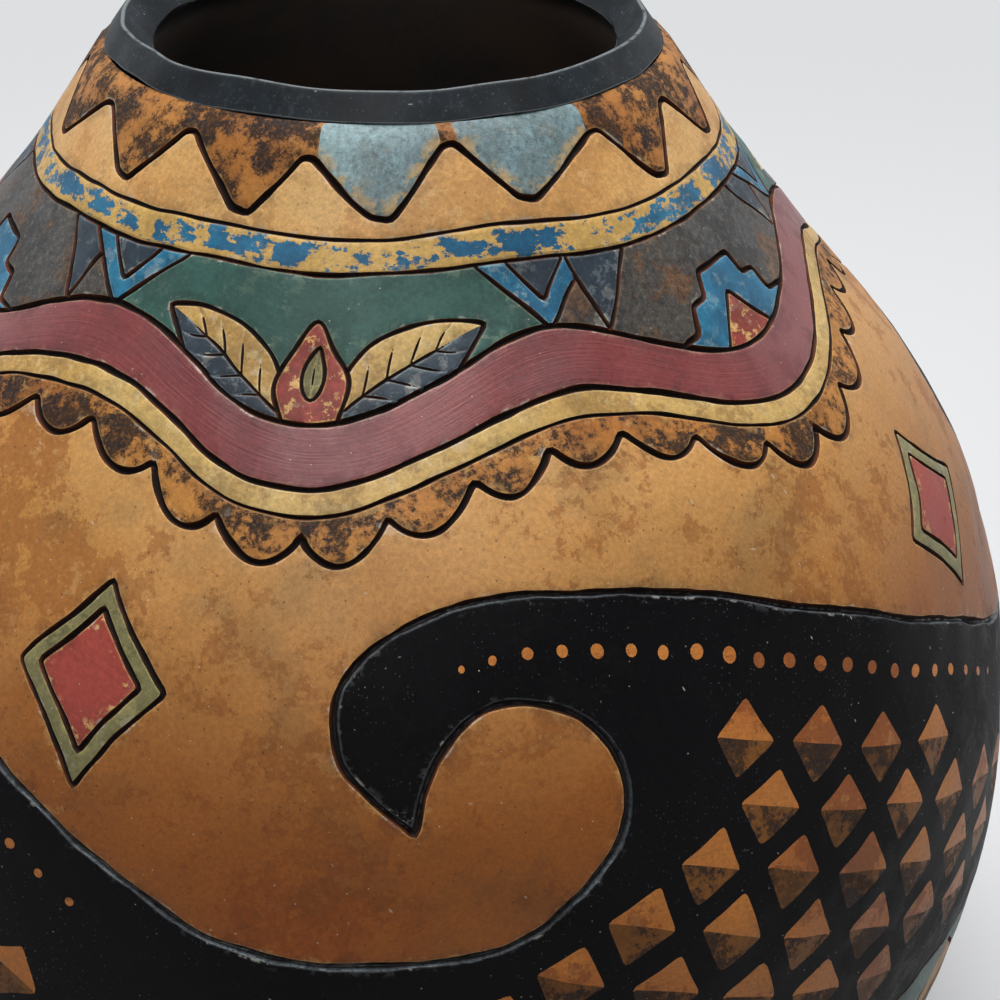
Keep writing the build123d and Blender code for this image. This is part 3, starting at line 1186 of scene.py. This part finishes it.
# scratchy strokes of thin paint, gone along the edges
def layHatch(c):
    hatch = c.g.noise(c.g.stretched(c.p, (1, 1, 0.4), (0.2, 0.5, 0)), 0.8, 4, 0.72)
    c.shaded(hatch.over(0.52, 0.64) * c.look["hatch"], 1.3)
    c.shaded(hatch.under(0.36, 0.48) * c.look["hatch"], 0.5)
    c.lay(c.rub.under(0.5, 2.4) * c.chip.over(0.44, 0.54) * c.look["hatch"], c.bare)


# chips, worn lips, pale scrapes and grime beside the carved lines; the pale lips and scrapes are worn rind
# and partly painted highlight
def layRubbedEdges(c):
    c.lay(c.chip.over(0.56, 0.6) * c.rub.under(0.2, 1.4) * c.look["rub"], c.bare)
    # pale lips along the carved lines: worn rind, and partly a painted highlight
    c.lay(c.rub.under(0.0, 0.3) * c.chip.over(0.36, 0.52) * 0.45, c.bare)
    scrapeAndGlint = c.rub.under(0.08, 0.5) * c.g.noise(c.p, 4.5, 4, 0.65).over(0.585, 0.635)
    c.lay(scrapeAndGlint * 0.5, tone(*dyeTones["scrapeAndGlint"]))
    c.shaded(c.rub.under(0.1, 2.2) * c.lace.over(0.44, 0.6) * 0.45, 0.42)


def layGrain(c):
    g = c.g
    grit = g.noise(c.p, 0.34, 2, 0.6)
    for grain, span, change in ((c.fine, (0.25, 0.75), 0.13), (grit, (0.3, 0.7), 0.08)):
        c.colour = g.mix(grain.over(*span), g.shade(c.colour, 1 - change), g.shade(c.colour, 1 + change))


# pores, dust and hairs
def layDust(c):
    g = c.g
    pores = g.spotted(c.p, 1.7, (0.06, 0.15), (0.46, 0.5))
    c.lay(pores * (0.7 * c.look["dots"]), tone(*dyeTones["pore"]))
    specks = g.spotted(c.p, 1.5, (0.05, 0.11), (0.81, 0.83))
    c.lay(specks * 0.6, tone(*dyeTones["speck"]))
    if c.look["dust"]:
        powder = g.spotted(c.p, 0.6, (0.1, 0.26), (0.5, 0.9)) * g.noise(c.p, 16, 3, 0.6).over(0.34, 0.62)
        c.lay(powder * (0.38 * c.look["dust"]), tone(*dyeTones["powder"]))
    if c.look["fibre"]:
        c.colour = hairs(g, c.p, c.colour, 2.0, 0.13, (0.045, 0.08), (0.84, 0.86), 0.55, dyeTones["hair"])
    return specks


def paintMaterial(name, settings):
    c = Coat(name, settings)
    look = c.look
    low, dabs = layDabs(c)
    streak = layStreaks(c)
    laySmudgeAndLowShade(c, low)
    rough = 0.4 + 0.16 * c.fine + 0.1 * dabs + 0.08 * c.chip - 0.08 * look["gloss"]
    if look["blotch"]:
        soot = laySoot(c)
        rough = rough + 0.2 * soot.over(0.48, 0.525)
    for key, layer in (("worn", layWorn), ("flake", layFlakes), ("hatch", layHatch)):
        if look[key]:
            layer(c)
    layRubbedEdges(c)
    layGrain(c)
    specks = layDust(c)
    ridge = 0.045 * mm * look["streak"] * look["ridge"]
    height = (0.02 * mm) * c.fine + (0.03 * mm) * c.chip + ridge * streak + (0.03 * mm) * specks
    return c.g.finish(c.colour, rough, height, look["coat"], look["coatRough"], look["spec"])


# burnt walls of the carved lines; where they border the black they are dark grey with patches of painted
# pale sheen, and a little glossy
grooveTones = dict(floor=(19, 12, 10), burnt=(44, 25, 17), brown=(96, 50, 30), bare=(136, 88, 54),
                   blackWall=(40, 43, 47), blackWallSheen=(118, 127, 133))


def grooveMaterial():
    g = material("carvedGroove")
    p = g.here()
    wall, besideBlack = g.kept("wall"), g.kept("besideBlack")
    patch = g.noise(p, 9, 3, 0.6)
    fine = g.noise(p, 0.7, 4, 0.7)
    t = {key: tone(*value) for key, value in grooveTones.items()}
    side = g.mix(patch.over(0.42, 0.6), t["burnt"], t["brown"])
    side = g.mix(fine.over(0.56, 0.66) * 0.35, side, t["bare"])
    # painted sheen: pale grey in patches on the walls beside the black, which are also glossier there
    sheenPatches = fine.over(0.3, 0.62) * (0.4 + 0.6 * patch.over(0.42, 0.58))
    side = g.mix(besideBlack, side, g.mix(sheenPatches, t["blackWall"], t["blackWallSheen"]))
    colour = g.mix(wall.over(0.35, 0.97), t["floor"], side)
    rough = 0.68 + 0.2 * fine - 0.34 * besideBlack
    return g.finish(colour, rough, (0.06 * mm) * fine, coat=0.8 * besideBlack * sheenPatches, spec=0.16)


for key, look in paints.items():
    picked = (triPaint == key) & ~inGroove
    made = skinPiece("skin_" + key, picked, paintNormals, paintMaterial(key + "Paint", look))
    print(made.name, int(picked.sum()))
skinPiece("carved_grooves", inGroove, grooveNormals, grooveMaterial())

# the rim ring, turned with a worn crest that is painted pale, as wear and as painted highlight; each pair
# ends with the millimetres to the nearest worn edge
rimForm = dict(
    steps=360, outer=47.5 * mm, crest=44.2 * mm, inner=39.57 * mm,
    footIn=0.25 * mm, footUp=0.3 * mm, footRub=0.1,
    outside=((0.035, 0.16), (0.08, 2), (0.3, 3), (0.55, 3), (0.8, 2), (0.93, 0.9)),  # share of the way up
    crestRound=0.7 * mm,
    crestTurn=((48, 0.5), (30, 0.2), (12, 0), (-8, 0), (-28, 0.2), (-46, 0.5)),      # degrees from upright
    slope=((0.08, 0.9), (0.3, 2), (0.55, 3), (0.8, 3), (0.94, 3)),                   # share of the way in
    overlap=0.05 * mm, innerRub=3,
    worn=0.16, wornOut=(15, 51), wornUp=(22, 52),      # unevenness in millimetres, with its size and seed
)
# worn is the pale line along the crest and foot: wear, and partly a painted highlight
rimTones = dict(dark=(17, 21, 25), light=(29, 37, 43), scuff=(74, 80, 84), speck=(148, 150, 148),
                hair=(190, 190, 184), worn=(138, 144, 147))


def rimMaterial():
    g = material("rimBlack")
    p = g.here()
    t = {key: tone(*value) for key, value in rimTones.items()}
    broad = g.noise(p, 9, 4, 0.6)
    fine = g.noise(p, 0.8, 3, 0.7)
    colour = g.mix(broad.over(0.35, 0.65), t["dark"], t["light"])
    scuff = g.noise(g.stretched(p, (1, 1, 0.35)), 1.0, 5, 0.75)
    colour = g.mix(scuff.over(0.54, 0.66) * broad.over(0.4, 0.6) * 0.5, colour, t["scuff"])
    for size, many, strength in ((0.9, 0.68, 0.36), (0.45, 0.62, 0.4)):
        specks = g.spotted(p, size, (0.1, 0.24), (many, many + 0.25)) * (0.3 + 0.7 * broad.over(0.4, 0.62))
        colour = g.mix(specks * strength, colour, t["speck"])
    colour = hairs(g, p, colour, 1.7, 0.16, (0.05, 0.09), (0.8, 0.82), 0.5, rimTones["hair"])
    # pale line along the worn crest and foot: wear, and partly a painted highlight
    worn = g.kept("rub").under(0.0, 0.34) * g.noise(p, 3, 4, 0.6).over(0.26, 0.5)
    colour = g.mix(worn * 0.6, colour, t["worn"])
    height = (0.035 * mm) * fine + (0.05 * mm) * broad
    return g.finish(colour, 0.46 + 0.2 * fine, height, coat=0.03, coatRough=0.34, spec=0.2)


def between(a, b, pairs):
    a, b = np.array(a), np.array(b)
    return [tuple(a + (b - a) * share) for share, _ in pairs]


def turnedPoints(profile, steps):
    turn = np.repeat(np.linspace(0, 2 * math.pi, steps, endpoint=False), len(profile))
    r, z = np.tile(np.array(profile), (steps, 1)).T
    return swung(r, z, turn), swung(np.ones_like(turn), np.zeros_like(turn), turn)


def turnedPiece(name, points, n, steps):
    faces = []
    for i in range(steps):
        j = (i + 1) % steps
        for k in range(n):
            m = (k + 1) % n
            faces.append((i * n + k, j * n + k, j * n + m, i * n + m))
    mesh = bpy.data.meshes.new(name)
    mesh.from_pydata(points.tolist(), [], faces)
    mesh.shade_smooth()
    piece = linked(name, mesh)
    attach(piece, "root")
    return piece


def rimRing():
    f = rimForm
    low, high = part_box("rim_collar")
    foot = [(f["outer"] - f["footIn"], low.z), (f["outer"], low.z + f["footUp"])]
    inside = (f["inner"], low.z - f["overlap"])
    r = f["crestRound"]
    crest = [(f["crest"] + r * math.sin(a), high.z - r + r * math.cos(a))
             for a in (math.radians(turn) for turn, _ in f["crestTurn"])]
    profile = (foot + between(foot[-1], crest[0], f["outside"]) + crest
               + between(crest[-1], inside, f["slope"]) + [inside])
    rubs = [rub for _, rub in f["outside"] + f["crestTurn"] + f["slope"]]
    rubs = [f["footRub"]] * len(foot) + rubs + [f["innerRub"]]
    points, out = turnedPoints(profile, f["steps"])
    for way, (size, seed) in ((out, f["wornOut"]), (np.array([[0, 0, 1]]), f["wornUp"])):
        points = points + way * (f["worn"] * mm * ripple(points, size * mm, seed))[:, None]
    piece = turnedPiece("rim_ring", points, len(profile), f["steps"])
    keepValues(piece.data, "rub", np.tile(rubs, f["steps"]))
    piece.data.materials.append(rimMaterial())
    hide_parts("rim_collar")


rimRing()
print("rim ring made")

# the coat inside: the frame's own mesh, given pale grey-brown tones as painted light for the shaded inside,
# and dark along its upper edge, where the light reaches it
# painted light: the dark and warm tones are pale so that the shaded inside reads lighter; the edge tone is
# the coat's own dark
liningLook = dict(dark=(116, 112, 110), warm=(146, 126, 110), edge=(19, 21, 23),
                  edgeFrom=5 * mm, edgeTo=1 * mm)     # below the top


def liningMaterial():
    g = material("liningCoat")
    p = g.here()
    dark, warm, edge = (tone(*liningLook[key]) for key in ("dark", "warm", "edge"))
    fine = g.noise(p, 2, 4, 0.65)
    colour = g.mix(g.noise(p, 30, 5, 0.6).over(0.35, 0.7), dark, warm)
    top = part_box("inner_lining")[1].z
    colour = g.mix(g.rise(p).over(top - liningLook["edgeFrom"], top - liningLook["edgeTo"]), colour, edge)
    return g.finish(colour, 0.55 + 0.2 * fine, (0.15 * mm) * fine)


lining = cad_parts["inner_lining"]
lining.data.materials.clear()
lining.data.materials.append(liningMaterial())

# the felt pad, a disc with rounded edges
padForm = dict(edge=0.5 * mm, bevel=0.3, hub=0.0002, steps=128, dark=(46, 44, 42), pale=(78, 74, 70))


def padMaterial():
    g = material("padFelt")
    fibre = g.noise(g.here(), 0.6, 5, 0.75)
    colour = g.mix(fibre.over(0.35, 0.7), tone(*padForm["dark"]), tone(*padForm["pale"]))
    return g.finish(colour, 0.92, (0.25 * mm) * fibre)


def feltPad():
    low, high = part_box("base_pad")
    r, e = high.x, padForm["edge"]
    bevel = e * padForm["bevel"]
    half = [(padForm["hub"], 0), (r * 0.5, 0), (r - e, 0), (r - bevel, bevel), (r, e)]
    profile = [(x, low.z + y) for x, y in half] + [(x, high.z - y) for x, y in half[::-1]]
    points, _ = turnedPoints(profile, padForm["steps"])
    piece = turnedPiece("felt_pad", points, len(profile), padForm["steps"])
    piece.data.materials.append(padMaterial())
    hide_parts("base_pad")


feltPad()
print("lining and pad made")

# stage, light and camera, in metres
stageLook = dict(width=24, floor=(206, 207, 209), pale=(222, 223, 225), bounce=(78, 78, 80), sky=0.07,
                 fade=(0.35, 1.0), horizon=(0.12, 0.5))
lamps = dict(
    overhead=dict(power=64.0, size=2.05, place=(0, 0.15, 2.2), target=(0, 0.1, 0.15)),
    leftBack=dict(power=1.7, size=0.6, place=(-1.0, 0.6, 0.8), target=(0, 0, 0.22)),
    rightBack=dict(power=1.7, size=0.6, place=(1.0, 0.6, 0.8), target=(0, 0, 0.22)),
    sheen=dict(power=4.0, size=0.6, place=(-0.15, -1.0, 1.45), target=(0, -0.05, 0.2)),
)
# the eye stands back from the axis and above the rim's top; the angles are in degrees
cameraFit = dict(back=339.2 * mm, rimTop=0.241, rise=96.2 * mm, pitch=29.67, yaw=3.5, roll=0.82, field=28,
                 sensor=36, near=0.01)


def floorMaterial():
    g = material("paleFloor")
    floor, pale, bounce = (tone(*stageLook[key]) for key in ("floor", "pale", "bounce"))
    seen = g.seen()
    g.dress({"Base Color": g.mix(seen, bounce, floor), "Roughness": 0.9, "Specular IOR Level": 0.1})
    away = g.node("ShaderNodeVectorMath", dict(operation="LENGTH"), {0: g.here()}, "Value")
    far = g.node("ShaderNodeEmission", None, {"Color": pale})
    near = Sock(g, g.shader.outputs[0])
    both = g.node("ShaderNodeMixShader", None, {0: seen * away.over(*stageLook["fade"]), 1: near, 2: far})
    g.put(g.tree.nodes["Material Output"].inputs["Surface"], both)
    return g.owner


def skyWorld():
    g = Graph(bpy.data.worlds.new("studio"))
    dim = (stageLook["sky"],) * 3 + (1,)
    rise = g.rise(g.node("ShaderNodeTexCoord", output="Generated"))
    shown = g.mix(rise.over(*stageLook["horizon"]), tone(*stageLook["pale"]), dim)
    back = g.tree.nodes["Background"].inputs
    g.put(back["Color"], g.mix(g.seen(), dim, shown))
    g.put(back["Strength"], 1.0)
    return g.owner


def softLamp(name, power, size, place, target):
    lamp = bpy.data.lights.new(name, "AREA")
    lamp.energy = power
    lamp.size = size
    lamp.shape = "DISK"
    body = linked(name, lamp)
    body.location = place
    body.rotation_euler = (Vector(target) - Vector(place)).to_track_quat("-Z", "Y").to_euler()


def photoCamera():
    c = cameraFit
    lens = bpy.data.cameras.new("photoView")
    lens.sensor_width = c["sensor"]
    lens.lens = c["sensor"] / 2 / math.tan(math.radians(c["field"] / 2))
    lens.clip_start = c["near"]
    eye = linked("photoView", lens)
    turn = Euler((math.radians(90 - c["pitch"]), 0, -math.radians(c["yaw"]))).to_matrix()
    turn = turn @ Matrix.Rotation(math.radians(c["roll"]), 3, "Z")
    eye.matrix_world = Matrix.Translation((0, -c["back"], c["rimTop"] + c["rise"])) @ turn.to_4x4()
    return eye


bpy.ops.mesh.primitive_plane_add(size=stageLook["width"], location=(0, 0, 0))
floor = bpy.context.object
floor.name = "pale_floor"
floor.data.materials.append(floorMaterial())
bpy.context.scene.world = skyWorld()
for name, look in lamps.items():
    softLamp(name, **look)
bpy.context.scene.camera = photoCamera()
bpy.context.scene.view_settings.view_transform = "Standard"
print("stage set")
